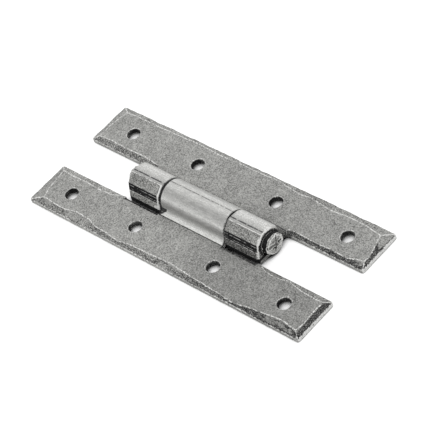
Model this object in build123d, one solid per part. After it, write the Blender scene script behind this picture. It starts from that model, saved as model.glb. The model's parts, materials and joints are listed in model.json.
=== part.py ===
from build123d import *
from math import acos, atan2, cos, degrees, hypot, radians, sin, sqrt, tan
import os

# Frame: +X runs along the hinge pin, +Y towards the leaf that carries the two outer knuckles,
# and +Z out of the face of the leaves. The origin is on the back plane, under the middle of the pin.
# All sizes are in millimetres and all angles in degrees.

# Leaves
leaf_length = 83.0
leaf_width = 11.5
leaf_thickness = 1.6
leaf_edge_height = 1.05       # upright side that is left below the hammered bevel
leaf_corner_radius = 0.5

# Screw holes, two pairs on each leaf
hole_radius = 1.6
hole_rim_chamfer = 0.1
inner_hole_spacing = 24.0
end_hole_spacing = 65.6
hole_inset = 5.7              # from the leaf's inner edge to the line of holes

# Pin
pin_radius = 2.4
pin_clearance = 0.05          # radial running clearance in the knuckles
pin_head_spread = 0.15        # how far hammering spreads the head past the pin, all the way round
pin_head_shift = 0.3          # the hammered head sits this far off the pin's axis, towards +Y
pin_head_height = 1.6
pin_head_edge = 0.4           # how far the head is rounded off at its rim
pin_head_crown = 0.12         # rise of the dome inside that rim
pin_head_flat = 0.8           # radius of the flat in the middle of the dome
punch_depth = 0.35
punch_wide = 0.8              # the long mark, along Y
punch_narrow = 0.45           # the mark that crosses it
punch_tilt = 6.0
punch_crossing = 62.0         # angle between the two marks

# Knuckles, rolled from the leaves' own sheet
outer_knuckle_length = 9.9
centre_knuckle_length = 19.5
knuckle_gap = 0.35            # play between neighbouring knuckles, along the pin
knuckle_rim = 0.4             # how far the outer ends of the outer knuckles are hammered back
roll_thinning = 0.15          # the rolled wall is this much thinner than the leaf
bend_radius = 3.5             # underside of the bend where the sheet leaves the leaf
lip_slope = 22.0              # inner face of the lip that is tucked in under the pin
lip_thickness = 0.73          # where the lip touches the pin's clearance circle
lip_tip = 0.3                 # blunt end of the tucked lip
lip_flare = 0.35              # how far the sharp bottom corner stands out past the round wall
lip_corner_height = 1.7
lip_corner_radius = 0.2
crease_depth = 0.12           # lengthwise crease that the forming tool leaves on the round
crease_half_width = 2.0       # in degrees round the pin

# Angles round the pin, from the side of the knuckle's own leaf, where the flats of the outer knuckles meet
flat_angles = (64.0, 98.0, 109.0, 149.0)
outer_crease_angle = 101.0
centre_crease_angle = 98.5

# Clearances of the swing
swing_clearance = 0.15        # between a knuckle's bottom corner and the other leaf, all the way round
relief_depth = 0.45           # the leaves are cut back this far opposite the other leaf's knuckles
relief_side = 0.4             # and this far past the end of the outer knuckles

# Worked out from the sizes above
bore_radius = pin_radius + pin_clearance
knuckle_wall = leaf_thickness - roll_thinning
knuckle_radius = bore_radius + knuckle_wall
pin_height = lip_thickness + bore_radius * cos(radians(lip_slope))
lip_reach = knuckle_radius + lip_flare
centre_half = centre_knuckle_length / 2
outer_start = centre_half + knuckle_gap
outer_end = outer_start + outer_knuckle_length
corner_sweep = hypot(lip_reach, pin_height) + swing_clearance
relief_edge = sqrt(corner_sweep**2 - (pin_height - leaf_thickness) ** 2)
leaf_inner_edge = relief_edge - relief_depth
leaf_outer_edge = leaf_inner_edge + leaf_width
bend_y = sqrt((bend_radius + bore_radius) ** 2 - (pin_height - bend_radius) ** 2)
bend_angle = degrees(atan2(bend_radius - pin_height, bend_y))
pin_head_radius = pin_radius + pin_head_spread

# Hammered bevel, as places along each edge of a leaf and the width of the bevel there.
# A long edge is read from its -X end, an end from the leaf's inner edge outwards.
# A place is a share of the edge. The ends of the long edges are the corners of the face.
OUTER_KNUCKLE_BEVEL = {
    "inner": [(0.02, 1.4), (0.07, 1.6), (0.13, 1.4), (0.20, 1.6), (0.25, 1.1), (0.29, 0.55), (0.31, 0.0),
              (0.69, 0.0), (0.72, 0.75), (0.76, 1.1), (0.84, 0.9), (0.89, 1.1), (0.94, 0.8), (0.965, 1.6), (0.99, 2.0)],
    "right": [(0.40, 1.1), (0.66, 2.0)],
    "outer": [(0.03, 1.6), (0.06, 1.3), (0.17, 1.3), (0.27, 1.1), (0.31, 0.9), (0.39, 1.3), (0.46, 1.0), (0.54, 1.05),
              (0.60, 0.75), (0.685, 1.6), (0.72, 1.1), (0.79, 1.9), (0.865, 1.45), (0.915, 1.6), (0.97, 2.2)],
    "left": [(0.42, 1.6), (0.65, 1.9)],
}
CENTRE_KNUCKLE_BEVEL = {
    "inner": [(0.02, 1.4), (0.06, 1.6), (0.11, 1.4), (0.175, 1.6), (0.21, 1.35), (0.24, 0.5), (0.26, 0.0),
              (0.75, 0.0), (0.775, 0.9), (0.80, 1.25), (0.835, 1.1), (0.86, 0.6), (0.90, 1.3), (0.96, 1.6), (0.985, 1.3)],
    "right": [(0.28, 1.6), (0.48, 1.5), (0.68, 1.3)],
    "outer": [(0.04, 1.9), (0.10, 1.6), (0.13, 1.6), (0.165, 2.35), (0.22, 2.1), (0.25, 1.3), (0.30, 1.15), (0.345, 0.65),
              (0.39, 1.3), (0.47, 1.5), (0.53, 1.85), (0.61, 1.3), (0.73, 0.75), (0.775, 0.35), (0.82, 1.1), (0.89, 1.8),
              (0.93, 2.15), (0.98, 1.5)],
    "left": [(0.34, 2.0), (0.64, 2.5)],
}


def round_pin(radius, angle):
    """A point round the pin's axis, in the (Y, Z) section."""
    return (radius * cos(radians(angle)), pin_height + radius * sin(radians(angle)))


def round_bend(radius, angle):
    """A point round the axis of the bend where the sheet leaves the leaf, in the (Y, Z) section."""
    return (bend_y + radius * cos(radians(angle)), bend_radius + radius * sin(radians(angle)))


def arc(place, radius, start, end):
    """An arc whose points come from round_pin or round_bend."""
    return ThreePointArc(place(radius, start), place(radius, (start + end) / 2), place(radius, end))


def chain(points):
    """Straight lines from point to point."""
    return [Line(a, b) for a, b in zip(points, points[1:])]


def crease(radius, angle):
    """The three points of the lengthwise crease in a knuckle's outside."""
    return [
        round_pin(radius, angle - crease_half_width),
        round_pin(radius - crease_depth, angle),
        round_pin(radius, angle + crease_half_width),
    ]


def flat_outside(radius):
    """Outside of an outer knuckle: round where it leaves the bend, then hammered flats down to its front."""
    first = flat_angles[0]
    corners = [round_pin(radius, angle) for angle in flat_angles + (180.0,)]
    notch = crease(radius, outer_crease_angle)
    return [arc(round_pin, radius, bend_angle, first)] + chain(corners[:2] + notch + corners[2:])


def round_outside(radius):
    """Outside of the centre knuckle: round all over, with one crease beside its crown."""
    return [
        arc(round_pin, radius, bend_angle, centre_crease_angle - crease_half_width),
        *chain(crease(radius, centre_crease_angle)),
        arc(round_pin, radius, centre_crease_angle + crease_half_width, 180.0),
    ]


def knuckle_section(outside, worn):
    """Section of a knuckle on the +Y leaf: up out of the leaf, over the pin, down, and in under it.
    Its outside is hammered back by worn."""
    radius = knuckle_radius - worn
    face_radius = bend_radius - knuckle_wall + worn
    foot_angle = 270.0 - degrees(acos((bend_radius - leaf_thickness) / face_radius))
    touch = round_pin(bore_radius, 270.0 - lip_slope)
    fall = tan(radians(lip_slope))
    tip = touch[0] + (touch[1] - lip_tip) / fall
    inner_corner = (-bore_radius, touch[1] + fall * (touch[0] + bore_radius))
    bottom_corner = lip_reach - lip_corner_radius
    cut = lip_corner_radius * (1 - cos(radians(45)))
    edges = [
        Line((bend_y, 0), (bend_y, leaf_thickness)),
        Line((bend_y, leaf_thickness), round_bend(face_radius, foot_angle)),
        arc(round_bend, face_radius, foot_angle, 180.0 + bend_angle),
        *outside(radius),
        *chain([(-radius, pin_height), (worn - lip_reach, lip_corner_height), (-lip_reach, lip_corner_radius)]),
        ThreePointArc((-lip_reach, lip_corner_radius), (cut - lip_reach, cut), (-bottom_corner, 0)),
        *chain([(-bottom_corner, 0), (tip, 0), (tip, lip_tip), inner_corner, (-bore_radius, pin_height)]),
        arc(round_pin, bore_radius, 180.0, bend_angle),
        arc(round_bend, bend_radius, 180.0 + bend_angle, 270.0),
    ]
    return make_face(edges)


def rolled_knuckle(outside, start, length):
    """A knuckle that runs from start along the pin."""
    return extrude(Plane.YZ.offset(start) * knuckle_section(outside, 0.0), amount=length)


def outer_knuckle():
    """The outer knuckle on the +X side, with its outer end hammered back."""
    rim_start = outer_end - knuckle_rim
    full = Plane.YZ.offset(rim_start) * knuckle_section(flat_outside, 0.0)
    worn = Plane.YZ.offset(outer_end) * knuckle_section(flat_outside, knuckle_rim)
    return rolled_knuckle(flat_outside, outer_start, rim_start - outer_start) + loft([full, worn], ruled=True)


def face_border(bevel):
    """Corners of the flat face inside the bevel and of the leaf's outline below them, in step with each other."""
    def along(share):
        return (share - 0.5) * leaf_length

    def across(share):
        return leaf_inner_edge + share * leaf_width

    half = leaf_length / 2
    face = [(along(s), leaf_inner_edge + w) for s, w in bevel["inner"]]
    outline = [(along(s), leaf_inner_edge) for s, w in bevel["inner"]]
    face += [(half - w, across(s)) for s, w in bevel["right"]]
    outline += [(half, across(s)) for s, w in bevel["right"]]
    face += [(along(s), leaf_outer_edge - w) for s, w in reversed(bevel["outer"])]
    outline += [(along(s), leaf_outer_edge) for s, w in reversed(bevel["outer"])]
    face += [(w - half, across(s)) for s, w in reversed(bevel["left"])]
    outline += [(-half, across(s)) for s, w in reversed(bevel["left"])]
    # The four corners of the outline lie at the true corners of the leaf.
    inner_count, outer_count = len(bevel["inner"]), len(bevel["outer"])
    outer_first = inner_count + len(bevel["right"])
    outline[0] = (-half, leaf_inner_edge)
    outline[inner_count - 1] = (half, leaf_inner_edge)
    outline[outer_first] = (half, leaf_outer_edge)
    outline[outer_first + outer_count - 1] = (-half, leaf_outer_edge)
    return face, outline


def hammered_plate(bevel):
    """The leaf's plate on the +Y side: upright sides, the hammered bevel over them and rounded corners."""
    face, outline = face_border(bevel)
    lower = Plane.XY.offset(leaf_edge_height) * make_face(Polyline(*outline, close=True))
    upper = Plane.XY.offset(leaf_thickness) * make_face(Polyline(*face, close=True))
    centre = (0, (leaf_inner_edge + leaf_outer_edge) / 2)
    slab = extrude(Pos(*centre) * Rectangle(leaf_length, leaf_width), amount=leaf_edge_height)
    rounded = extrude(Pos(*centre) * RectangleRounded(leaf_length, leaf_width, leaf_corner_radius), amount=leaf_thickness)
    return (slab + loft([lower, upper], ruled=True)) & rounded


def screw_holes():
    """The four holes of a leaf, each with its small rim chamfer."""
    y = leaf_inner_edge + hole_inset
    places = [(side * spacing / 2, y) for spacing in (inner_hole_spacing, end_hole_spacing) for side in (-1, 1)]
    drill = Cylinder(hole_radius, leaf_thickness, align=(Align.CENTER, Align.CENTER, Align.MIN))
    rim = Cone(
        hole_radius, hole_radius + hole_rim_chamfer, hole_rim_chamfer, align=(Align.CENTER, Align.CENTER, Align.MAX)
    )
    cutter = drill + Pos(0, 0, leaf_thickness) * rim
    return [Pos(x, y) * cutter for x, y in places]


def cut_back(start, end, edge):
    """Everything of a leaf between start and end along the pin, from its inner edge out to edge."""
    return Pos((start + end) / 2, edge / 2, leaf_thickness / 2) * Box(end - start, edge, leaf_thickness)


def outer_knuckle_leaf():
    """Leaf with the two outer knuckles, on the +Y side."""
    leaf = hammered_plate(OUTER_KNUCKLE_BEVEL)
    leaf -= cut_back(-outer_start, outer_start, relief_edge)
    leaf -= [cut_back(-outer_end, -outer_start, bend_y), cut_back(outer_start, outer_end, bend_y)]
    knuckle = outer_knuckle()
    return leaf + [knuckle, mirror(knuckle, about=Plane.YZ)] - screw_holes()


def centre_knuckle_leaf():
    """Leaf with the centre knuckle, drawn on the +Y side and mirrored to the -Y side."""
    leaf = hammered_plate(CENTRE_KNUCKLE_BEVEL)
    reach = outer_end + relief_side
    leaf -= [cut_back(-reach, -centre_half, relief_edge), cut_back(centre_half, reach, relief_edge)]
    leaf -= cut_back(-centre_half, centre_half, bend_y)
    leaf += rolled_knuckle(round_outside, -centre_half, centre_knuckle_length)
    return mirror(leaf - screw_holes(), about=Plane.XZ)


def punch_mark(turn, width):
    """A straight groove across the middle of the head's face, turned about the pin's axis."""
    return Rot(X=turn) * Box(2 * punch_depth, 2 * pin_head_radius, width)


def hinge_pin():
    """Pin through all three knuckles, hammered over at both ends, with two crossed punch marks in each head."""
    crown = outer_end + pin_head_height
    rim = crown - pin_head_crown - pin_head_edge
    dome = crown - pin_head_crown
    corners = [(outer_end, 0), (outer_end, pin_head_radius), (rim, pin_head_radius)]
    corners += [(dome, pin_head_radius - pin_head_edge), (crown, pin_head_flat), (crown, 0), (outer_end, 0)]
    head = revolve(make_face(chain(corners)), Axis.X)
    marks = [punch_mark(punch_tilt, punch_wide), punch_mark(punch_tilt + punch_crossing, punch_narrow)]
    head -= [Pos(crown, 0, 0) * mark for mark in marks]
    head = Pos(0, pin_head_shift, 0) * head
    shank = Rot(Y=90) * Cylinder(pin_radius, 2 * outer_end)
    return Pos(0, 0, pin_height) * (shank + head + mirror(head, about=Plane.YZ))


os.makedirs("parts", exist_ok=True)
nodes = {
    "outer_knuckle_leaf": outer_knuckle_leaf(),
    "centre_knuckle_leaf": centre_knuckle_leaf(),
    "hinge_pin": hinge_pin(),
}
for name, shape in nodes.items():
    export_step(shape, f"parts/{name}.step")
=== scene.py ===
import json
from math import cos, radians, sin

import bmesh
import bpy
import numpy as np
from bpy.props import FloatProperty, FloatVectorProperty, PointerProperty
from mathutils import Matrix, Vector, noise
from mathutils.kdtree import KDTree


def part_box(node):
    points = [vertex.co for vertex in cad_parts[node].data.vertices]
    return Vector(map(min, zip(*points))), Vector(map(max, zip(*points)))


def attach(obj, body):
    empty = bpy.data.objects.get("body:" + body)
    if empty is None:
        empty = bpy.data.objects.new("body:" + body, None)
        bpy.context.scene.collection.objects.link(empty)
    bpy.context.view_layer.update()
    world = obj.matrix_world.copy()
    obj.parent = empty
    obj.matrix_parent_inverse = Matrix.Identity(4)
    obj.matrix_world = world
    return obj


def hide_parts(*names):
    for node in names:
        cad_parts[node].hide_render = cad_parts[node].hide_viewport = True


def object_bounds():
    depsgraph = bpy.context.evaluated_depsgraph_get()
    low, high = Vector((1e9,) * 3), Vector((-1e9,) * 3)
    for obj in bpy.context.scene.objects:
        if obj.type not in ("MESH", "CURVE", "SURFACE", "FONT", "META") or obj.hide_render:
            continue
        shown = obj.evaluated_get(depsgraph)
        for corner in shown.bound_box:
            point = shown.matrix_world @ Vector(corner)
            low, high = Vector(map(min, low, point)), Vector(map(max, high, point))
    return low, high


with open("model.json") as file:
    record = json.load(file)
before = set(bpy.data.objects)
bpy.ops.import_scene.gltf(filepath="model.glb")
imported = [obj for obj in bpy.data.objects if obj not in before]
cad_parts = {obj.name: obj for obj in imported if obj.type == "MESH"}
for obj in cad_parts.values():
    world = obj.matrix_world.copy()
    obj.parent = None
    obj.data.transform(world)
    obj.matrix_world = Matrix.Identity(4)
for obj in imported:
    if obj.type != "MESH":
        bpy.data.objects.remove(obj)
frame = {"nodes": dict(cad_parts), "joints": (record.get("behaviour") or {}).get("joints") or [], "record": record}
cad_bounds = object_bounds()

bl_info = {
    "name": "Hammered H Hinge",
    "version": (1, 0, 0),
    "blender": (4, 5, 0),
    "location": "View3D > Sidebar > H Hinge",
    "description": "Worn, hammered leaves, rolled knuckles and a peened pin for an H hinge",
    "category": "Object",
}

MM = 0.001

# The joint gives the line of the pin, and the pin's box gives where its hammered heads end.
PIN_AXIS_HEIGHT = frame["joints"][0]["pos_m"][2]
PIN_LOW, PIN_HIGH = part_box("hinge_pin")
# Ends of the centre knuckle and of the outer knuckles along the pin
CENTRE_KNUCKLE_END = 9.75 * MM
KNUCKLES_END = 20.0 * MM
LIP_CORNER_HEIGHT = 1.7 * MM
LIP_THICKNESS = 0.9 * MM
LEAF_HALF_LENGTH = cad_bounds[1][0]
LEAF_THICKNESS = 1.6 * MM
# The leaves' inner edges, and where they are cut back beside the other leaf's knuckles
LEAF_INNER_EDGE = 4.716 * MM
RELIEF_EDGE = 5.166 * MM
# Where a knuckle's finish ends on its leaf, and the crease at the foot of the centre knuckle
KNUCKLE_FINISH_EDGE = LEAF_INNER_EDGE + 0.3 * MM
FOOT_CREASE = LEAF_INNER_EDGE + 0.38 * MM
# Angles, smaller and larger, over which the sheet turns enough to be rubbed bare as an edge
LEAF_EDGE_ANGLES = (radians(3.5), radians(9.5))
PIN_EDGE_ANGLES = (radians(15), radians(40))
# How far from an edge the metal is rubbed
LEAF_RUB_REACH = 0.2 * MM
PIN_RUB_REACH = 0.17 * MM
# Distances from the pin's axis over which a knuckle's end face passes into its rim
END_RIM = (3.0 * MM, 3.3 * MM)
# The level direction away from the light: bevels that face it are painted darker, as painted shade over their
# scale
SHADED_SIDE = (0.65, -0.76)
# Least share of dark specks on the plain faces
FACE_SCALE = 0.12
# Degrees round the outer knuckles over which one finish passes into the next, from +Y over the top
CROWN_TO_FLAT = (107, 111)
FLAT_TO_BAND = (145, 149)
BAND_TO_NOSE = (173, 178)
# Painted light and shade round the knuckles, with their rubbed bands: how light the metal is made, by the angle
# from +Y over the top
OUTER_KNUCKLE_LIGHT_AND_WEAR = (
    (0, 1.0), (40, 1.1), (52, 1.35), (58, 1.35), (64, 1.1), (72, 1.15), (80, 1.0), (88, 0.92), (93, 0.8),
    (104, 0.85), (109, 0.9), (112, 1.0), (141, 1.0), (144, 1.3), (148, 1.0), (360, 1.0))
CENTRE_KNUCKLE_LIGHT_AND_WEAR = (
    (0, 1.0), (40, 1.15), (56, 1.15), (60, 1.3), (72, 1.35), (76, 1.0), (82, 1.0), (88, 1.1), (100, 1.2),
    (108, 0.95), (120, 0.9), (128, 1.05), (136, 1.25), (144, 1.5), (149, 1.4), (154, 1.05), (164, 0.82),
    (170, 0.9), (176, 1.05), (182, 1.22), (188, 1.45), (193, 1.75), (360, 1.85))
# How strong the blasted grain is round the outer knuckles, by the same angle, and on the centre knuckle
OUTER_KNUCKLE_GRAIN = ((0, 0.25), (106, 0.25), (112, 0.85), (145, 0.85), (150, 0.2), (172, 0.2), (176, 0.9))
CENTRE_KNUCKLE_GRAIN = 0.15
# How light the faces of the two leaves are, by the distance along the pin in millimetres
FACE_TONE = {1: ((-42, 1.07), (-15, 1.07), (14, 0.94), (28, 1.0), (42, 0.97)),
             -1: ((-42, 1.07), (-8, 1.16), (0, 1.1), (12, 0.85), (42, 0.86))}
# Lines along the knuckles: which knuckles, angle and half width in degrees, least noise that shows
# the line, and whether it is bare metal or else dark
KNUCKLE_LINES = (
    ("outer_knuckle", 98.2, 2.4, 0.34, False), ("outer_knuckle", 109.0, 1.3, 0.38, True),
    ("outer_knuckle", 155.5, 0.8, 0.42, True), ("outer_knuckle", 169.0, 0.6, 0.44, True),
    ("outer_knuckle", 176.5, 1.0, 0.40, True), ("centre_knuckle", 78.5, 1.4, 0.36, False))
# Where each noise starts, so that no two pieces are marked alike
HAMMER_SEED, PIT_SEED, DENT_SEED, STRIPE_SEED = 3.0, 11.0, 5.0, 9.0
# Hammer dents in the pin's heads
DENT_SIZE = 0.9 * MM
DENT_DEPTH = 0.15 * MM
# The floor's half size, the side that the room is brighter on, and the lamp over the far left, in metres
FLOOR_HALF_SIZE = 3.0
BRIGHT_SIDE = (-0.55, 0.45, 0.7)
SOFT_BOX_PLACE = (-0.25, 0.3, 0.45)
SOFT_BOX_SIZE = 0.35
PHOTO_PIXELS = 436
SENSOR_WIDTH_MM = 36.0


class HingeFinish(bpy.types.PropertyGroup):
    """Wear, hammer marks and colours of the metal"""

    leaf_mesh_step: FloatProperty(
        name="Leaf mesh step", description="Spacing of the vertices on the leaves",
        default=0.18 * MM, unit="LENGTH", precision=6)
    pin_mesh_step: FloatProperty(
        name="Pin mesh step", description="Spacing of the vertices on the pin",
        default=0.11 * MM, unit="LENGTH", precision=6)
    hammer_depth: FloatProperty(
        name="Hammer depth", description="Depth of the hammer marks in the bevels",
        default=0.10 * MM, unit="LENGTH", precision=6)
    hammer_size: FloatProperty(
        name="Hammer size", description="Length of one hammer mark along an edge",
        default=2.6 * MM, unit="LENGTH", precision=6)
    pit_depth: FloatProperty(
        name="Pit depth", description="Depth of the pits left by the forge scale",
        default=0.03 * MM, unit="LENGTH", precision=6)
    pit_size: FloatProperty(
        name="Pit size", description="Width of one pit",
        default=0.5 * MM, unit="LENGTH", precision=6)
    grain_size: FloatProperty(
        name="Grain size", description="Width of one grain of the blasted surface",
        default=0.25 * MM, unit="LENGTH", precision=6)
    steel: FloatVectorProperty(
        name="Steel", description="Grey of the blasted faces",
        default=(0.32, 0.32, 0.308), subtype="COLOR", min=0, max=1)
    bright_steel: FloatVectorProperty(
        name="Bright steel", description="Grey of the rubbed knuckles",
        default=(0.52, 0.52, 0.505), subtype="COLOR", min=0, max=1)
    bare_steel: FloatVectorProperty(
        name="Bare steel", description="Pale grey of the edges that are rubbed bare",
        default=(0.95, 0.95, 0.93), subtype="COLOR", min=0, max=1)
    # This near black also colours the painted shade under the knuckles' noses, in the left knuckle gap, on the
    # pin's heads and on bevels away from the light
    scale: FloatVectorProperty(
        name="Scale", description="Near black of the scale in hollows and on unrubbed sides",
        default=(0.02, 0.02, 0.021), subtype="COLOR", min=0, max=1)


class HingeStudio(bpy.types.PropertyGroup):
    """Camera, lamps and floor"""

    azimuth: FloatProperty(
        name="Azimuth", description="Camera's direction round the hinge, 0 looks along +Y",
        default=radians(58.722), subtype="ANGLE")
    elevation: FloatProperty(
        name="Elevation", description="Camera's height above the floor as an angle",
        default=radians(44.107), subtype="ANGLE")
    roll: FloatProperty(
        name="Roll", description="Camera's turn about its own line of sight",
        default=radians(-22.466), subtype="ANGLE")
    distance: FloatProperty(
        name="Distance", description="From the camera to the point it looks at",
        default=482.467 * MM, unit="LENGTH")
    focal_pixels: FloatProperty(
        name="Focal length", description="Focal length in pixels of the photograph",
        default=2222.124)
    target_x: FloatProperty(
        name="Target X", description="Point on the floor that the camera looks at, along the pin",
        default=2.064 * MM, unit="LENGTH", precision=6)
    target_y: FloatProperty(
        name="Target Y", description="Point on the floor that the camera looks at, across the pin",
        default=1.411 * MM, unit="LENGTH", precision=6)
    floor_grey: FloatProperty(
        name="Floor grey", description="Grey of the paper that the hinge lies on",
        default=0.80, min=0, max=1)
    floor_lift: FloatProperty(
        name="Floor lift",
        description="What the camera sees of the floor beside its lit grey, so that it is white",
        default=0.56, min=0, max=1)
    shadow_reach: FloatProperty(
        name="Shadow reach", description="How far from the hinge the paper is still shaded",
        default=3 * MM, unit="LENGTH", precision=6)
    sky_low: FloatProperty(
        name="Low sky", description="Brightness of the room on the side away from the window",
        default=0.9, min=0)
    sky_high: FloatProperty(
        name="High sky", description="Brightness of the room on the window's side",
        default=1.05, min=0)
    key_power: FloatProperty(
        name="Key light", description="Power of the soft box over the far side",
        default=0.35, min=0, unit="POWER")


def neighbour_mean(values, edges, counts):
    """Mean of each vertex's neighbours, column by column."""
    columns = []
    for column in values.T:
        total = np.bincount(edges[:, 0], column[edges[:, 1]], len(values))
        total += np.bincount(edges[:, 1], column[edges[:, 0]], len(values))
        columns.append(total / counts)
    return np.stack(columns, axis=1)


def read_vectors(data, field, count):
    """A mesh's vertex field as rows of three."""
    flat = np.empty(count * 3, np.float32)
    data.foreach_get(field, flat)
    return flat.reshape(-1, 3).astype(float)


def write_masks(mesh, **masks):
    """Stores numbers from 0 to 1 on the vertices, which the materials read by name."""
    for name, values in masks.items():
        layer = mesh.attributes.new(name, "FLOAT", "POINT")
        whole = np.broadcast_to(np.clip(values, 0, 1), len(mesh.vertices))
        layer.data.foreach_set("value", whole.astype(np.float32))


def smooth_step(low, high, values):
    """0 below low, 1 above high, and a smooth rise between them."""
    share = np.clip((values - low) / (high - low), 0, 1)
    return share * share * (3 - 2 * share)


def merged_copy(node):
    """A bmesh of a CAD node with its loose triangles merged."""
    bm = bmesh.new()
    bm.from_mesh(frame["nodes"][node].data)
    bmesh.ops.remove_doubles(bm, verts=bm.verts, dist=0.001 * MM)
    return bm


def edge_nearness(node, points, least_angle, full_angle, reach):
    """How near each point is to a CAD node's sharp outside edges and to its inside corners, from 0 to 1."""
    bm = merged_copy(node)
    samples = {1: [], -1: []}
    for edge in bm.edges:
        if not edge.is_manifold:
            continue
        angle = edge.calc_face_angle_signed(0.0)
        if abs(angle) < least_angle:
            continue
        strength = min(1.0, abs(angle) / full_angle)
        first, last = (vertex.co.copy() for vertex in edge.verts)
        steps = max(1, int((last - first).length / (0.4 * reach)))
        places = [first.lerp(last, i / steps) for i in range(steps + 1)]
        samples[1 if angle > 0 else -1] += [(place, strength) for place in places]
    bm.free()
    found = []
    for sign in (1, -1):
        tree = KDTree(len(samples[sign]))
        for index, (place, _) in enumerate(samples[sign]):
            tree.insert(place, index)
        tree.balance()
        nearness = np.zeros(len(points))
        for row, point in enumerate(points):
            near = tree.find(point) if samples[sign] else (None, None, None)
            if near[0] is not None:
                nearness[row] = samples[sign][near[1]][1] * np.exp(-(near[2] / reach) ** 2)
        found.append(nearness)
    return found


def even_mesh(node, step):
    """A copy of a CAD node, merged and then covered with an even net of quads."""
    bm = merged_copy(node)
    mesh = bpy.data.meshes.new(node + "_even")
    bm.to_mesh(mesh)
    bm.free()
    scratch = bpy.data.objects.new(node + "_even", mesh)
    bpy.context.scene.collection.objects.link(scratch)
    remesh = scratch.modifiers.new("Even net", "REMESH")
    remesh.mode = "VOXEL"
    remesh.voxel_size = step
    remesh.use_smooth_shade = True
    bpy.context.view_layer.update()
    evaluated = scratch.evaluated_get(bpy.context.evaluated_depsgraph_get())
    even = bpy.data.meshes.new_from_object(evaluated)
    bpy.data.objects.remove(scratch)
    bpy.data.meshes.remove(mesh)
    return even


def noise_field(points, size, seed):
    """Smooth noise from -1 to 1 at each point, with bumps about size wide."""
    offset = Vector((seed, seed * 1.7, seed * 2.3))
    return np.array([noise.noise(Vector(p) / size + offset) for p in points])


def hammered_field(points, size, seed):
    """Hammered flats, from -1 in their middles to about 1 in the creases between them."""
    offset = Vector((seed, seed * 1.3, seed * 0.7))
    return np.array([noise.noise(Vector(p) / size + offset, noise_basis="VORONOI_F1") for p in points])


def line_at(values, centre, half_width):
    """1 where a value is at the centre, falling to 0 on both sides."""
    return np.exp(-((values - centre) / half_width) ** 2)


def curve_at(values, points):
    """A curve given by its corner points, read at each value."""
    return np.interp(values, *zip(*points))


class Relief:
    """The vertices of a piece's mesh, while hammer marks and wear are put on it."""

    def __init__(self, mesh):
        count = len(mesh.vertices)
        self.mesh = mesh
        self.points = read_vectors(mesh.vertices, "co", count)
        self.normals = read_vectors(mesh.vertex_normals, "vector", count)
        flat = np.empty(len(mesh.edges) * 2, np.int32)
        mesh.edges.foreach_get("vertices", flat)
        self.edges = flat.reshape(-1, 2)
        self.counts = np.bincount(self.edges.ravel(), minlength=count)

    def mean(self, values, rounds):
        """Values smoothed over so many rings of neighbours."""
        for _ in range(rounds):
            values = neighbour_mean(values, self.edges, self.counts)
        return values

    def push_in(self, depth):
        """Moves each vertex inwards by its depth, or outwards where that is below 0."""
        self.points -= self.normals * depth[:, None]
        self.store()

    def store(self):
        """Writes the vertices back and reads their new normals."""
        self.mesh.vertices.foreach_set("co", self.points.astype(np.float32).ravel())
        self.mesh.update()
        self.normals = read_vectors(self.mesh.vertex_normals, "vector", len(self.points))

    def rise(self, rounds):
        """How far each vertex stands out from its surroundings: above 0 on edges, below 0 in hollows."""
        around = self.mean(self.points, rounds)
        return np.einsum("ij,ij->i", self.points - around, self.normals)

    def even_rise(self, step):
        """The rise over four rings, evened out a little, as a share of the mesh's step."""
        return self.mean(self.rise(4)[:, None], 1)[:, 0] / step


def finish_piece(name, node, body, mesh, material):
    """Makes the object that stands for a CAD node."""
    mesh.name = name
    mesh.materials.clear()
    mesh.materials.append(material)
    piece = bpy.data.objects.new(name, mesh)
    bpy.context.scene.collection.objects.link(piece)
    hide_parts(node)
    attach(piece, body)
    return piece


def new_group(name, inputs, outputs):
    """An empty shader node group with named sockets, and its input and output nodes."""
    group = bpy.data.node_groups.new(name, "ShaderNodeTree")
    for label, kind, default in inputs:
        socket = group.interface.new_socket(label, in_out="INPUT", socket_type=kind)
        if default is not None:
            socket.default_value = default
    for label, kind in outputs:
        group.interface.new_socket(label, in_out="OUTPUT", socket_type=kind)
    return group, group.nodes.new("NodeGroupInput"), group.nodes.new("NodeGroupOutput")


def put(tree, kind, settings=None, **sockets):
    """Adds a node. Each socket, by its name or as i and its number, is given a value or a node's output."""
    node = tree.nodes.new(kind)
    for field, value in (settings or {}).items():
        setattr(node, field, value)
    for label, value in sockets.items():
        numbered = label[0] == "i" and label[1:].isdigit()
        socket = node.inputs[int(label[1:]) if numbered else label]
        if isinstance(value, bpy.types.NodeSocket):
            tree.links.new(value, socket)
        else:
            socket.default_value = value
    return node


def maths(tree, operation, first, second=0.0, third=0.0):
    """The output of a Math node."""
    return put(tree, "ShaderNodeMath", {"operation": operation}, i0=first, i1=second, i2=third).outputs[0]


def noise_value(tree, vector, scale, detail, roughness):
    """The value of a Noise Texture node."""
    node = put(tree, "ShaderNodeTexNoise", Vector=vector, Scale=scale, Detail=detail, Roughness=roughness)
    return node.outputs[0]


def ramp(tree, value, low, high, out_low=0.0, out_high=1.0):
    """A smooth rise from out_low to out_high as value goes from low to high."""
    node = put(tree, "ShaderNodeMapRange", {"interpolation_type": "SMOOTHSTEP"}, Value=value)
    for label, number in zip(("From Min", "From Max", "To Min", "To Max"), (low, high, out_low, out_high)):
        if isinstance(number, bpy.types.NodeSocket):
            tree.links.new(number, node.inputs[label])
        else:
            node.inputs[label].default_value = number
    return node.outputs[0]


def mix_colour(tree, share, first, second):
    """First where share is 0, second where it is 1."""
    node = put(tree, "ShaderNodeMix", {"data_type": "RGBA"})
    for index, value in ((0, share), (6, first), (7, second)):
        if isinstance(value, bpy.types.NodeSocket):
            tree.links.new(value, node.inputs[index])
        else:
            node.inputs[index].default_value = value
    return node.outputs[2]


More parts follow.
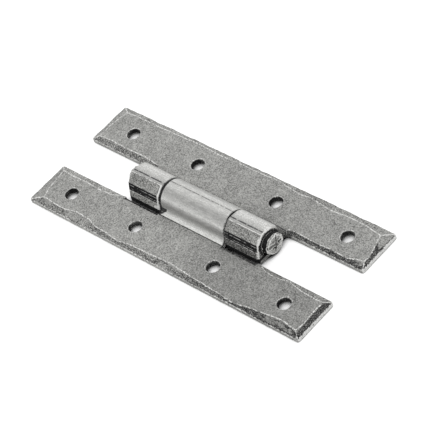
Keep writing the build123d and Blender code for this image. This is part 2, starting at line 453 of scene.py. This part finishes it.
def grain_group():
    """Fine blasted grain with broader clouding: a tone about 1 and a height from 0 to 1."""
    group, inside, outside = new_group(
        "Blasted grain",
        [("Vector", "NodeSocketVector", None), ("Grain size", "NodeSocketFloat", 0.34 * MM),
         ("Contrast", "NodeSocketFloat", 0.3), ("Clouding", "NodeSocketFloat", 0.1)],
        [("Tone", "NodeSocketFloat"), ("Height", "NodeSocketFloat")])
    vector, size = inside.outputs["Vector"], inside.outputs["Grain size"]
    fine_scale = maths(group, "DIVIDE", 1.0, size)
    fine = noise_value(group, vector, fine_scale, 2.0, 0.6)
    broad_scale = maths(group, "MULTIPLY", fine_scale, 0.09)
    broad = noise_value(group, vector, broad_scale, 4.0, 0.6)
    speck = maths(group, "MULTIPLY", maths(group, "SUBTRACT", fine, 0.5), inside.outputs["Contrast"])
    cloud = maths(group, "MULTIPLY", maths(group, "SUBTRACT", broad, 0.5), inside.outputs["Clouding"])
    tone = maths(group, "ADD", maths(group, "ADD", speck, cloud), 1.0)
    group.links.new(tone, outside.inputs["Tone"])
    group.links.new(fine, outside.inputs["Height"])
    return group


def rub_group():
    """Bare rubbed metal along the edges: whole where an edge is sharp, broken up where it is weak."""
    group, inside, outside = new_group(
        "Rubbed edges",
        [("Vector", "NodeSocketVector", None), ("Edge", "NodeSocketFloat", 0.0),
         ("Break size", "NodeSocketFloat", 0.6 * MM), ("Breaking", "NodeSocketFloat", 1.2)],
        [("Mask", "NodeSocketFloat")])
    edge = inside.outputs["Edge"]
    scale = maths(group, "DIVIDE", 1.0, inside.outputs["Break size"])
    patch = noise_value(group, inside.outputs["Vector"], scale, 3.0, 0.7)
    swing = maths(group, "SUBTRACT", patch, 0.5)
    level = maths(group, "MULTIPLY_ADD", swing, inside.outputs["Breaking"], edge)
    mask = maths(group, "MULTIPLY", ramp(group, level, 0.45, 0.75), ramp(group, edge, 0.05, 0.3))
    group.links.new(mask, outside.inputs["Mask"])
    return group


def scale_group():
    """Specks and patches of dark scale, denser where there is more cover."""
    group, inside, outside = new_group(
        "Dark scale",
        [("Vector", "NodeSocketVector", None), ("Cover", "NodeSocketFloat", 0.0),
         ("Speck size", "NodeSocketFloat", 0.45 * MM)],
        [("Mask", "NodeSocketFloat"), ("Height", "NodeSocketFloat")])
    scale = maths(group, "DIVIDE", 1.0, inside.outputs["Speck size"])
    speck = noise_value(group, inside.outputs["Vector"], scale, 4.0, 0.7)
    level = maths(group, "SUBTRACT", 0.86, maths(group, "MULTIPLY", inside.outputs["Cover"], 0.62))
    top = maths(group, "ADD", level, 0.16)
    mask = ramp(group, speck, level, top)
    group.links.new(mask, outside.inputs["Mask"])
    group.links.new(maths(group, "SUBTRACT", 1.0, mask), outside.inputs["Height"])
    return group


def shared_group(name, make):
    """The named node group, made the first time that it is asked for."""
    return bpy.data.node_groups.get(name) or make()


def use_group(tree, name, make, **sockets):
    """Places a shared node group in a material."""
    node = tree.nodes.new("ShaderNodeGroup")
    node.node_tree = shared_group(name, make)
    for field, value in sockets.items():
        label = field.replace("_", " ")
        if isinstance(value, bpy.types.NodeSocket):
            tree.links.new(value, node.inputs[label])
        else:
            node.inputs[label].default_value = value
    return node.outputs


def streak_group():
    """Object coordinates drawn out along the pin, and fine lines along it: a tone about 1."""
    group, inside, outside = new_group(
        "Forming streaks",
        [("Vector", "NodeSocketVector", None), ("Amount", "NodeSocketFloat", 0.0),
         ("Line size", "NodeSocketFloat", 0.3 * MM), ("Contrast", "NodeSocketFloat", 0.5)],
        [("Vector", "NodeSocketVector"), ("Tone", "NodeSocketFloat")])
    along = maths(group, "SUBTRACT", 1.0, maths(group, "MULTIPLY", inside.outputs["Amount"], 0.95))
    squeeze = put(group, "ShaderNodeCombineXYZ", X=along, Y=1.0, Z=1.0).outputs[0]
    drawn = put(group, "ShaderNodeVectorMath", {"operation": "MULTIPLY"}, i0=inside.outputs["Vector"],
                i1=squeeze).outputs[0]
    scale = maths(group, "DIVIDE", 1.0, inside.outputs["Line size"])
    lines = noise_value(group, drawn, scale, 2.0, 0.6)
    swing = maths(group, "MULTIPLY", inside.outputs["Amount"], inside.outputs["Contrast"])
    tone = maths(group, "MULTIPLY_ADD", maths(group, "SUBTRACT", lines, 0.5), swing, 1.0)
    group.links.new(drawn, outside.inputs["Vector"])
    group.links.new(tone, outside.inputs["Tone"])
    return group


def line_group():
    """A thin line along the pin, at an angle round it, that wanders and comes and goes."""
    group, inside, outside = new_group(
        "Line along the pin",
        [("Vector", "NodeSocketVector", None), ("Angle", "NodeSocketFloat", 90.0),
         ("Half width", "NodeSocketFloat", 1.5), ("Least patch", "NodeSocketFloat", 0.4)],
        [("Mask", "NodeSocketFloat")])
    vector = inside.outputs["Vector"]
    place = put(group, "ShaderNodeSeparateXYZ", i0=vector).outputs
    up = maths(group, "SUBTRACT", place["Z"], PIN_AXIS_HEIGHT)
    turn = maths(group, "FLOORED_MODULO", maths(group, "ARCTAN2", up, place["Y"]), radians(360))
    wander = noise_value(group, vector, 1 / (6 * MM), 1.0, 0.5)
    turned = maths(group, "ADD", maths(group, "DEGREES", turn), wander)
    centre = maths(group, "ADD", inside.outputs["Angle"], 0.5)
    off = maths(group, "ABSOLUTE", maths(group, "SUBTRACT", turned, centre))
    half = inside.outputs["Half width"]
    full, none = maths(group, "MULTIPLY", half, 0.4), maths(group, "MULTIPLY", half, 1.4)
    line = ramp(group, off, full, none, 1.0, 0.0)
    wide = put(group, "ShaderNodeVectorMath", {"operation": "MULTIPLY"}, i0=vector,
               i1=(0.5, 0.5, 0.5)).outputs[0]
    patch = noise_value(group, wide, 1 / (0.4 * MM), 2.0, 0.6)
    least = inside.outputs["Least patch"]
    shown = ramp(group, patch, least, maths(group, "ADD", least, 0.15))
    group.links.new(maths(group, "MULTIPLY", line, shown), outside.inputs["Mask"])
    return group


def mask_input(tree, name):
    """One of the numbers stored on the piece's vertices."""
    return put(tree, "ShaderNodeAttribute", {"attribute_name": name}).outputs["Fac"]


def aged_steel(name, finish):
    """Pewter-grey steel: grained faces, rubbed edges, bright crowns and dark scale in the hollows."""
    material = bpy.data.materials.new(name)
    material.use_nodes = True
    tree = material.node_tree
    tree.nodes.clear()
    vector = put(tree, "ShaderNodeTexCoord").outputs["Object"]
    streaks = use_group(tree, "Forming streaks", streak_group, Vector=vector,
                        Amount=mask_input(tree, "streak"), Line_size=0.3 * MM, Contrast=0.9)
    grain = use_group(tree, "Blasted grain", grain_group, Vector=vector, Grain_size=finish.grain_size,
                      Contrast=3.3, Clouding=0.75)
    rubbed = use_group(tree, "Rubbed edges", rub_group, Vector=vector, Edge=mask_input(tree, "edge"),
                       Break_size=0.38 * MM, Breaking=1.6)["Mask"]
    cover = mask_input(tree, "scale")
    scale = use_group(tree, "Dark scale", scale_group, Vector=streaks["Vector"], Cover=cover,
                      Speck_size=0.24 * MM)
    rubbed_line, dark_line = 0.0, 0.0
    for region, angle, half_width, least, bare in KNUCKLE_LINES:
        line = use_group(tree, "Line along the pin", line_group, Vector=vector, Angle=angle,
                         Half_width=half_width, Least_patch=least)["Mask"]
        line = maths(tree, "MULTIPLY", line, mask_input(tree, region))
        if bare:
            rubbed_line = maths(tree, "MAXIMUM", rubbed_line, line)
        else:
            dark_line = maths(tree, "MAXIMUM", dark_line, line)
    rubbed = maths(tree, "MAXIMUM", rubbed, rubbed_line)
    polish = mask_input(tree, "polish")
    steel = mix_colour(tree, polish, (*finish.steel, 1), (*finish.bright_steel, 1))
    grained = maths(tree, "MULTIPLY", mask_input(tree, "grain"), 2.0)
    tone = maths(tree, "MULTIPLY_ADD", maths(tree, "SUBTRACT", grain["Tone"], 1.0), grained, 1.0)
    tone = maths(tree, "MULTIPLY", tone, streaks["Tone"])
    # The stored tone carries painted light and shade round the knuckles and on the leaves' upright sides, with the
    # metal's own tone
    tone = maths(tree, "MULTIPLY", tone, maths(tree, "MULTIPLY", mask_input(tree, "tone"), 2.0))
    toned = put(tree, "ShaderNodeVectorMath", {"operation": "SCALE"}, Vector=steel, Scale=tone).outputs[0]
    # The scale cover also carries painted shade under the knuckles' noses, in the left knuckle gap, on the pin's
    # heads and on bevels away from the light
    thick = ramp(tree, cover, 0.85, 1.0, 0.9, 0.98)
    scale_share = maths(tree, "MULTIPLY", scale["Mask"], thick)
    scaled = mix_colour(tree, scale_share, toned, (*finish.scale, 1))
    lined = mix_colour(tree, maths(tree, "MULTIPLY", dark_line, 0.9), scaled, (*finish.scale, 1))
    colour = mix_colour(tree, rubbed, lined, (*finish.bare_steel, 1))
    rough = ramp(tree, polish, 0, 1, 0.5, 0.38)
    rough = maths(tree, "MULTIPLY_ADD", scale["Mask"], 0.2, rough)
    rough = maths(tree, "MULTIPLY_ADD", rubbed, -0.12, rough)
    height = maths(tree, "MULTIPLY", grain["Height"], grained)
    height = maths(tree, "ADD", height, maths(tree, "MULTIPLY", scale["Height"], 0.6))
    bump = put(tree, "ShaderNodeBump", Strength=0.35, Distance=0.02 * MM, Height=height).outputs[0]
    metallic = maths(tree, "MULTIPLY_ADD", rubbed, -0.35, 0.45)
    shader = put(tree, "ShaderNodeBsdfPrincipled", Roughness=rough, Metallic=metallic, Normal=bump)
    tree.links.new(colour, shader.inputs["Base Color"])
    tree.links.new(maths(tree, "MULTIPLY_ADD", scale_share, -0.42, 0.5), shader.inputs["Specular IOR Level"])
    output = tree.nodes.new("ShaderNodeOutputMaterial")
    tree.links.new(shader.outputs[0], output.inputs["Surface"])
    return material


def screw_hole_centres(side):
    """The leaf's screw holes as (x, y), and their radius, from the part's own mounts."""
    centres = []
    for mount in frame["record"]["mounts"]:
        if mount["kind"] == "bolt_pattern" and mount["pos_m"][1] * side > 0:
            half = mount["dims"]["spacing_x_mm"] * MM / 2
            centres += [(mount["pos_m"][0] + end * half, mount["pos_m"][1]) for end in (-1, 1)]
            radius = mount["dims"]["hole_r_mm"] * MM
    return np.array(centres), radius


class LeafPlaces:
    """Where a leaf's vertices lie and how they face. Side is +1 for the far leaf, -1 for the near one."""

    def __init__(self, relief, step, side):
        self.side = side
        self.x, self.y, self.z = relief.points.T
        self.along, self.own = np.abs(self.x), self.y * side
        self.up = self.z - PIN_AXIS_HEIGHT
        self.angle = np.degrees(np.arctan2(self.up, self.y)) % 360
        self.from_axis = np.hypot(self.y, self.up)
        self.rise = relief.even_rise(step)
        tilt = relief.mean(relief.normals, 2)
        tilt /= np.linalg.norm(tilt, axis=1)[:, None]
        self.tilt_x, self.tilt_y, self.tilt_z = tilt.T
        self.sideways = np.abs(self.tilt_x)
        self.knuckle = (self.along < KNUCKLES_END + 0.1 * MM) & (self.own < KNUCKLE_FINISH_EDGE)
        centres, radius = screw_hole_centres(side)
        reach = np.hypot(self.x[:, None] - centres[:, 0], self.y[:, None] - centres[:, 1])
        self.from_hole = reach.min(axis=1) - radius


def hole_masks(leaf):
    """The walls of the screw holes, their bare rims, and the rings of scale round them."""
    wall = 1 - smooth_step(-0.02 * MM, 0.06 * MM, leaf.from_hole)
    rim = line_at(leaf.from_hole, 0.1 * MM, 0.1 * MM) * (leaf.tilt_z > 0.2)
    ring = line_at(leaf.from_hole, 0.38 * MM, 0.12 * MM) * (leaf.tilt_z > 0.9)
    return wall, rim, ring


def side_masks(leaf):
    """The hammered bevels, the scale that they keep with painted shade on those that face away from the light, and
    the upright sides below them.
    """
    bevel = smooth_step(0.015, 0.05, 1 - leaf.tilt_z) * ~leaf.knuckle
    bevel *= smooth_step(0.3 * MM, 0.5 * MM, leaf.from_hole) * smooth_step(0.1, 0.5, leaf.tilt_z)
    towards_right = smooth_step(0.2, 0.8, leaf.x / LEAF_HALF_LENGTH)
    level = np.hypot(leaf.tilt_x, leaf.tilt_y).clip(0.01)
    facing_shade = (SHADED_SIDE[0] * leaf.tilt_x + SHADED_SIDE[1] * leaf.tilt_y) / level
    in_shade = smooth_step(-0.3, 0.5, facing_shade)
    # Bevels that face away from the light, more so towards the right end, get painted shade over their scale
    bevel_scale_and_shade = bevel * (0.3 + (0.36 + 0.14 * towards_right) * in_shade)
    upright = (1 - smooth_step(0.2, 0.5, np.abs(leaf.tilt_z))) * ~leaf.knuckle
    upright *= smooth_step(0.1 * MM, 0.3 * MM, leaf.from_hole)
    return bevel, bevel_scale_and_shade, upright


def knuckle_end_masks(leaf):
    """The flat ends of the knuckles, the rounded rims of the outer two, and the ends of their lips."""
    end_face = leaf.knuckle * smooth_step(0.9, 0.98, leaf.sideways)
    end_face *= 1 - (leaf.x < 1 * MM - KNUCKLES_END) * smooth_step(*END_RIM, leaf.from_axis)
    rim = leaf.knuckle * smooth_step(0.5, 0.65, leaf.sideways) * (1 - smooth_step(0.85, 0.93, leaf.sideways))
    rim *= (leaf.along > KNUCKLES_END - 0.5 * MM) * (leaf.own < 4.0 * MM)
    lip_end = end_face * (leaf.z < LIP_THICKNESS) * (leaf.own < 0) * (leaf.side > 0)
    return end_face, rim, lip_end


def outer_knuckle_rims(leaf, rim, below_nose):
    """The bare rims of the outer knuckles, and the bare tip of the left one's nose."""
    past_gap = leaf.along - CENTRE_KNUCKLE_END
    left_rim = leaf.knuckle * (np.abs(past_gap) < 1.0 * MM) * (past_gap < 0.8 * MM) * (leaf.x < 0)
    left_rim = left_rim * smooth_step(100, 112, leaf.angle) * (1 - below_nose)
    left_rim *= 1 - smooth_step(0.5, 0.8, leaf.sideways)
    right_rim = rim * smooth_step(50, 70, leaf.angle) * (1 - below_nose)
    right_rim *= 1 - 0.08 * smooth_step(150, 165, leaf.angle)
    tip_width = 2.1 * MM * smooth_step(176, 193, leaf.angle)
    nose_tip = leaf.knuckle * (leaf.x < 0) * (1 - below_nose) * smooth_step(176, 179, leaf.angle)
    nose_tip *= 1 - smooth_step(-0.15 * MM, 0.15 * MM, past_gap - tip_width)
    return left_rim, right_rim, nose_tip


def outer_knuckle_masks(leaf, edge, rim, lip_end):
    """The outer knuckles: a rubbed crown, a grained flat, a dark band, and a nose over the lip."""
    knuckle, angle = leaf.knuckle, leaf.angle
    crown = knuckle * (1 - smooth_step(*CROWN_TO_FLAT, angle))
    band = smooth_step(*FLAT_TO_BAND, angle) * (1 - smooth_step(*BAND_TO_NOSE, angle))
    nose = smooth_step(*BAND_TO_NOSE, angle) * (leaf.z > LIP_CORNER_HEIGHT)
    below_nose = smooth_step(-0.1 * MM, 0.1 * MM, LIP_CORNER_HEIGHT - leaf.z) * (leaf.own < 0)
    left_rim, right_rim, nose_tip = outer_knuckle_rims(leaf, rim, below_nose)
    left_end = knuckle * (leaf.x < 1.2 * MM - KNUCKLES_END) * (leaf.up > -0.5 * MM)
    left_end = left_end * smooth_step(2.6 * MM, 2.9 * MM, leaf.from_axis)
    root = (np.abs(leaf.along - KNUCKLES_END) < 1.3 * MM) * (leaf.own > 3.0 * MM) * (leaf.own < 6.2 * MM)
    root = root * (leaf.tilt_z < 0.97)

    # Below the nose the metal is made near black: painted shade under the overhang, with dark scale
    dark = np.maximum.reduce([1.2 * band, 1.2 * below_nose, nose * np.where(leaf.x < 0, 0.05, 0.68)])
    dark *= 1 - 0.65 * smooth_step(0.5, 0.7, -leaf.tilt_z)
    dark = knuckle * dark * (1 - lip_end) + 0.35 * lip_end
    dark = np.maximum(dark, 0.75 * root) * (1 - nose_tip)

    inner_end = knuckle * (np.abs(leaf.along - CENTRE_KNUCKLE_END) < 1.0 * MM)
    edge = edge * (1 - knuckle * smooth_step(146, 149, angle) * (1 - smooth_step(168, 174, angle)))
    edge *= 1 - knuckle * np.maximum(below_nose, line_at(angle, 98.5, 4))
    edge *= (1 - 0.7 * inner_end) * (1 - 0.8 * knuckle * line_at(angle, 109, 6)) * (1 - left_end)
    edge = np.maximum.reduce([edge, left_rim, right_rim, nose_tip]) * (1 - 0.8 * root)

    return {
        "edge": edge, "dark": dark, "clean": left_end, "polish": crown,
        "streak": knuckle * np.maximum(0.95 * band, 0.3 * crown),
        "grain": curve_at(angle, OUTER_KNUCKLE_GRAIN),
        # Tone by angle: painted light and shade, with rubbed bands
        "tone": curve_at(angle, OUTER_KNUCKLE_LIGHT_AND_WEAR) * (1 + 0.3 * nose * (leaf.x < 0))}


def knuckle_shadow_wedge(leaf):
    """A painted shadow of the left outer knuckle's nose: a dark wedge at the left end of the centre knuckle, which
    narrows to the right, off the foot.
    """
    share = 1 - (leaf.x + CENTRE_KNUCKLE_END) / (2.3 * MM)
    climb = LEAF_INNER_EDGE + 0.33 * MM - leaf.own + 0.55 * (leaf.z - LEAF_THICKNESS)
    low = 1.6 * MM * (1 - share / 0.75)
    high = (1.9 + 0.5 * smooth_step(0.6, 0.9, share)) * MM
    wedge = leaf.knuckle * (share > 0.04) * smooth_step(-0.15 * MM, 0.05 * MM, climb - low)
    wedge *= 1 - smooth_step(-0.05 * MM, 0.15 * MM, climb - high)
    return wedge * (leaf.tilt_z > -0.2) * (leaf.own > 3 * MM)


def centre_knuckle_masks(leaf, edge):
    """The centre knuckle, rubbed smooth, with painted shade in the gap at its left end, a painted shadow wedge
    beside it, and painted shade on its leaf under the outer knuckles.
    """
    knuckle, at_left = leaf.knuckle, leaf.x < 0
    beside = (leaf.along > CENTRE_KNUCKLE_END) & (leaf.along < KNUCKLES_END + 0.3 * MM)
    overhang_shade_width = np.where(at_left, 0.7, 1.2) * MM
    # Painted shade on the leaf under the outer knuckles' noses, which also takes the bare line off its edge
    knuckle_overhang_shade = beside * (1 - smooth_step(0.3, 1.0, (leaf.own - RELIEF_EDGE) / overhang_shade_width)) * (leaf.tilt_z > -0.5)
    # Painted shade in the gap at the left end of the centre knuckle: its first 0.45 to 0.62 mm are made near black
    left_gap_shade = knuckle * (1 - smooth_step(0.45 * MM, 0.62 * MM, leaf.x + CENTRE_KNUCKLE_END))
    right_lip = knuckle * (leaf.x > CENTRE_KNUCKLE_END - 0.3 * MM) * smooth_step(0.25, 0.5, leaf.sideways)
    edge = edge * (1 - knuckle_overhang_shade * np.where(at_left, 1, 0.6)) * ~knuckle
    overhang_shade_cover = knuckle_overhang_shade * np.where(at_left, 1.15, 0.8)
    return {
        "edge": np.maximum(edge, 0.6 * right_lip * smooth_step(95, 115, leaf.angle)),
        "dark": np.maximum.reduce([overhang_shade_cover, 0.92 * knuckle_shadow_wedge(leaf), 1.2 * left_gap_shade]),
        "clean": 0.0, "polish": 0.9 * knuckle, "streak": 0.9 * knuckle,
        # Tone by angle: painted light and shade, with rubbed bands
        "grain": CENTRE_KNUCKLE_GRAIN, "tone": curve_at(leaf.angle, CENTRE_KNUCKLE_LIGHT_AND_WEAR)}


def leaf_masks(relief, step, side, outside_edge, inside_corner):
    """Stores where a leaf is rubbed bare, smooth or under dark scale, and how light it is."""
    leaf = LeafPlaces(relief, step, side)
    knuckle = leaf.knuckle
    hole_wall, hole_rim, hole_ring = hole_masks(leaf)
    bevel, bevel_scale_and_shade, upright = side_masks(leaf)
    end_face, rim, lip_end = knuckle_end_masks(leaf)
    edge = np.maximum(0.75 * outside_edge, 0.6 * smooth_step(0.12, 0.4, leaf.rise)) * (1 - hole_wall)
    if side > 0:
        looks = outer_knuckle_masks(leaf, edge, rim, lip_end)
        end_face = end_face * (1 - looks["clean"])
        end_face *= 1 - 0.3 * (leaf.x > 0) * smooth_step(*END_RIM, leaf.from_axis)
    else:
        looks = centre_knuckle_masks(leaf, edge)

    right_side = upright * smooth_step(0.4, 0.8, leaf.tilt_x)
    foot = (side < 0) * (leaf.along < CENTRE_KNUCKLE_END) * (leaf.own < LEAF_INNER_EDGE + 0.8 * MM)
    foot = foot * (leaf.tilt_z > 0)
    foot_line = foot * line_at(leaf.own, FOOT_CREASE, 0.13 * MM)
    hollow = np.maximum(inside_corner * ~knuckle, smooth_step(0.05, 0.35, -leaf.rise))
    hollow *= (1 - outside_edge) * (1 - foot) * (1 - looks["clean"])
    # Upright sides are made 40 per cent lighter, as painted light that falls on them
    face_tone = curve_at(leaf.x / MM, FACE_TONE[side]) * (1 + 0.4 * upright)
    root_shade = (side > 0) * line_at(leaf.own, LEAF_INNER_EDGE, 1.6 * MM) * line_at(leaf.x, 15 * MM, 6 * MM)
    write_masks(
        relief.mesh,
        edge=np.maximum.reduce([
            looks["edge"], 0.2 * bevel, 0.3 * upright, 0.75 * right_side, 0.55 * hole_rim]),
        scale=np.maximum.reduce([
            bevel_scale_and_shade, 0.15 * upright, hollow, looks["dark"], 1.3 * foot_line, hole_wall, 0.42 * hole_ring,
            # The knuckles' end faces are made near black: scale, with painted shadow of the pin's heads
            0.95 * end_face * (1 - rim) * (1 - lip_end), np.full(len(leaf.x), FACE_SCALE)]),
        polish=looks["polish"],
        streak=looks["streak"],
        grain=np.where(knuckle, looks["grain"], 0.5 + 0.4 * bevel),
        tone=np.where(knuckle, looks["tone"], face_tone * (1 - 0.25 * root_shade)) / 2,
        outer_knuckle=knuckle * (side > 0) * (1 - end_face),
        centre_knuckle=knuckle * (side < 0) * (1 - end_face))


def hammer_leaf(relief, finish, side):
    """Hammer marks and pits in the bevels and down the sides."""
    tilt_z = relief.mean(relief.normals, 2)[:, 2]
    off_knuckle = smooth_step(4.6 * MM, 5.2 * MM, relief.points[:, 1] * side)
    bevel = smooth_step(0.01, 0.06, 1 - tilt_z) * smooth_step(-0.2, 0.3, tilt_z) * off_knuckle
    flats = hammered_field(relief.points, finish.hammer_size, HAMMER_SEED + side)
    pits = smooth_step(0.05, 0.45, noise_field(relief.points, finish.pit_size, PIT_SEED + side))
    relief.push_in(bevel * (finish.hammer_depth * flats + finish.pit_depth * pits))


def pin_masks(relief, step, rim_edge):
    """Stores the looks of the pin's heads: a bare rim, a dull facet between bare ridges, and dark sides of scale
    with painted shade.
    """
    x, y, z = relief.points.T
    rise = relief.even_rise(step)
    facing_out = smooth_step(0.35, 0.7, np.abs(relief.mean(relief.normals, 2)[:, 0]))
    across, up = y / MM, (z - PIN_AXIS_HEIGHT) / MM
    stripe = up + 0.25 * across + 0.12 * noise_field(relief.points, 0.8 * MM, STRIPE_SEED)
    facet = line_at(stripe, 0.05, 0.55) * (1 - smooth_step(0.6, 1.0, across))
    ridges = np.maximum(line_at(stripe, 0.66, 0.17), line_at(stripe, -0.6, 0.15))
    ridges = ridges * smooth_step(0.2, 0.6, facing_out)
    rim = rim_edge * smooth_step(1.6, 1.9, np.hypot(across, up)) * (facing_out > 0)
    write_masks(
        relief.mesh,
        edge=np.maximum.reduce([0.6 * smooth_step(0.8, 1.4, rise) * (1 - facet), rim, 0.9 * ridges]),
        scale=np.maximum.reduce([
            # The heads' sides are made dark: scale, with painted shade on them; the left head's less so
            smooth_step(0.1, 0.4, -rise) * (1 - facet), (1 - facing_out) * np.where(x < 0, 0.3, 1.1),
            0.75 * line_at(stripe, 1.15, 0.3), 0.45 * facet]),
        tone=0.62 + 0.2 * smooth_step(0.3, 2.0, across - up) - 0.46 * facet,
        polish=0.3, grain=0.5, streak=0.0, outer_knuckle=0.0, centre_knuckle=0.0)


class HHINGE_OT_leaves(bpy.types.Operator):
    """Makes the two worn, hammered leaves with their rolled knuckles"""

    bl_idname = "hhinge.leaves"
    bl_label = "Leaves"

    def execute(self, context):
        finish = context.scene.hinge_finish
        material = aged_steel("aged_leaf_steel", finish)
        leaves = (("outer_knuckle_leaf", "outer_leaf", 1), ("centre_knuckle_leaf", "centre_leaf", -1))
        for node, body, side in leaves:
            mesh = even_mesh(node, finish.leaf_mesh_step)
            relief = Relief(mesh)
            nearness = edge_nearness(node, relief.points, *LEAF_EDGE_ANGLES, LEAF_RUB_REACH)
            hammer_leaf(relief, finish, side)
            leaf_masks(relief, finish.leaf_mesh_step, side, *nearness)
            finish_piece("worn_" + node, node, body, mesh, material)
        return {"FINISHED"}


class HHINGE_OT_pin(bpy.types.Operator):
    """Makes the pin with its hammered-over heads"""

    bl_idname = "hhinge.pin"
    bl_label = "Pin"

    def execute(self, context):
        finish = context.scene.hinge_finish
        mesh = even_mesh("hinge_pin", finish.pin_mesh_step)
        relief = Relief(mesh)
        rim_edge, _ = edge_nearness("hinge_pin", relief.points, *PIN_EDGE_ANGLES, PIN_RUB_REACH)
        head = smooth_step(KNUCKLES_END, KNUCKLES_END + 0.2 * MM, np.abs(relief.points[:, 0]))
        relief.push_in(head * DENT_DEPTH * hammered_field(relief.points, DENT_SIZE, DENT_SEED))
        pin_masks(relief, finish.pin_mesh_step, rim_edge)
        material = aged_steel("peened_pin_steel", finish)
        finish_piece("peened_pin", "hinge_pin", "outer_leaf", mesh, material)
        return {"FINISHED"}


def paper_floor(studio):
    """A large sheet of pale paper, white to the camera where nothing shades it."""
    mesh = bpy.data.meshes.new("paper_floor")
    bm = bmesh.new()
    bmesh.ops.create_grid(bm, x_segments=1, y_segments=1, size=FLOOR_HALF_SIZE)
    bm.to_mesh(mesh)
    bm.free()
    floor = bpy.data.objects.new("paper_floor", mesh)
    bpy.context.scene.collection.objects.link(floor)
    material = bpy.data.materials.new("pale_paper")
    material.use_nodes = True
    tree = material.node_tree
    tree.nodes.clear()
    grey = studio.floor_grey
    light = put(tree, "ShaderNodeLightPath")
    open_sky = put(tree, "ShaderNodeAmbientOcclusion", {"samples": 16},
                   Distance=studio.shadow_reach).outputs["AO"]
    camera_ray = light.outputs["Is Camera Ray"]
    seen = maths(tree, "MULTIPLY", camera_ray, ramp(tree, open_sky, 0.27, 0.68, 0.0, studio.floor_lift))
    shade = maths(tree, "MULTIPLY", camera_ray, ramp(tree, open_sky, 0.28, 0.52, 1.0, 0.0))
    tint = mix_colour(tree, shade, (grey, grey, grey, 1), (0, 0, 0, 1))
    matte = put(tree, "ShaderNodeBsdfDiffuse", Color=tint).outputs[0]
    glow = put(tree, "ShaderNodeEmission", Strength=seen).outputs[0]
    both = put(tree, "ShaderNodeAddShader", i0=matte, i1=glow).outputs[0]
    output = tree.nodes.new("ShaderNodeOutputMaterial")
    tree.links.new(both, output.inputs["Surface"])
    mesh.materials.append(material)


def studio_room(studio):
    """A room that is bright over the far left and dimmer behind the camera's right shoulder."""
    world = bpy.data.worlds.new("studio_room")
    bpy.context.scene.world = world
    world.use_nodes = True
    tree = world.node_tree
    tree.nodes.clear()
    direction = put(tree, "ShaderNodeTexCoord").outputs["Generated"]
    towards = put(tree, "ShaderNodeVectorMath", {"operation": "DOT_PRODUCT"}, i0=direction,
                  i1=Vector(BRIGHT_SIDE).normalized()).outputs["Value"]
    shade = ramp(tree, towards, -0.3, 1.0, studio.sky_low, studio.sky_high)
    light = put(tree, "ShaderNodeLightPath")
    strength = put(tree, "ShaderNodeMix", {"data_type": "FLOAT"})
    tree.links.new(light.outputs["Is Camera Ray"], strength.inputs[0])
    tree.links.new(shade, strength.inputs[2])
    strength.inputs[3].default_value = 1.0
    background = put(tree, "ShaderNodeBackground", Strength=strength.outputs[0])
    output = tree.nodes.new("ShaderNodeOutputWorld")
    tree.links.new(background.outputs[0], output.inputs["Surface"])


def soft_box(name, place, size, power):
    """A square lamp that points at the hinge."""
    lamp = bpy.data.lights.new(name, "AREA")
    lamp.size = size
    lamp.energy = power
    holder = bpy.data.objects.new(name, lamp)
    holder.location = place
    holder.rotation_euler = (-Vector(place)).to_track_quat("-Z", "Y").to_euler()
    bpy.context.scene.collection.objects.link(holder)


def photo_camera(studio):
    """The camera at the photograph's angle."""
    a, e, roll = studio.azimuth, studio.elevation, studio.roll
    back = Vector((sin(a) * cos(e), -cos(a) * cos(e), sin(e)))
    level = Vector((cos(a), sin(a), 0))
    upright = back.cross(level)
    right = level * cos(roll) + upright * sin(roll)
    up = upright * cos(roll) - level * sin(roll)
    data = bpy.data.cameras.new("photo_camera")
    data.sensor_width = SENSOR_WIDTH_MM
    data.lens = studio.focal_pixels * SENSOR_WIDTH_MM / PHOTO_PIXELS
    data.clip_start = 0.01
    camera = bpy.data.objects.new("photo_camera", data)
    place = Vector((studio.target_x, studio.target_y, 0)) + back * studio.distance
    camera.matrix_world = Matrix.Translation(place) @ Matrix((right, up, back)).transposed().to_4x4()
    bpy.context.scene.collection.objects.link(camera)
    bpy.context.scene.camera = camera


class HHINGE_OT_stage(bpy.types.Operator):
    """Makes the paper floor, the soft light and the camera"""

    bl_idname = "hhinge.stage"
    bl_label = "Stage"

    def execute(self, context):
        studio = context.scene.hinge_studio
        paper_floor(studio)
        studio_room(studio)
        soft_box("far_soft_box", SOFT_BOX_PLACE, SOFT_BOX_SIZE, studio.key_power)
        photo_camera(studio)
        context.scene.view_settings.view_transform = "Standard"
        return {"FINISHED"}


class HHINGE_PT_panel(bpy.types.Panel):
    """Lists the steps that make the hinge"""

    bl_label = "H Hinge"
    bl_idname = "HHINGE_PT_panel"
    bl_space_type = "VIEW_3D"
    bl_region_type = "UI"
    bl_category = "H Hinge"

    def draw(self, context):
        for operator in OPERATORS:
            self.layout.operator(operator.bl_idname)
        for settings in (context.scene.hinge_finish, context.scene.hinge_studio):
            box = self.layout.box()
            for field in settings.bl_rna.properties:
                if field.identifier not in {"rna_type", "name"}:
                    box.prop(settings, field.identifier)


OPERATORS = (HHINGE_OT_leaves, HHINGE_OT_pin, HHINGE_OT_stage)
CLASSES = (HingeFinish, HingeStudio, *OPERATORS, HHINGE_PT_panel)


def register():
    """Adds the classes and their settings."""
    for cls in CLASSES:
        bpy.utils.register_class(cls)
    bpy.types.Scene.hinge_finish = PointerProperty(type=HingeFinish)
    bpy.types.Scene.hinge_studio = PointerProperty(type=HingeStudio)


def unregister():
    """Removes the classes and their settings."""
    del bpy.types.Scene.hinge_studio
    del bpy.types.Scene.hinge_finish
    for cls in reversed(CLASSES):
        bpy.utils.unregister_class(cls)


def main():
    """Makes every piece, then the stage."""
    register()
    bpy.ops.hhinge.leaves()
    bpy.ops.hhinge.pin()
    bpy.ops.hhinge.stage()


if __name__ == "__main__":
    main()
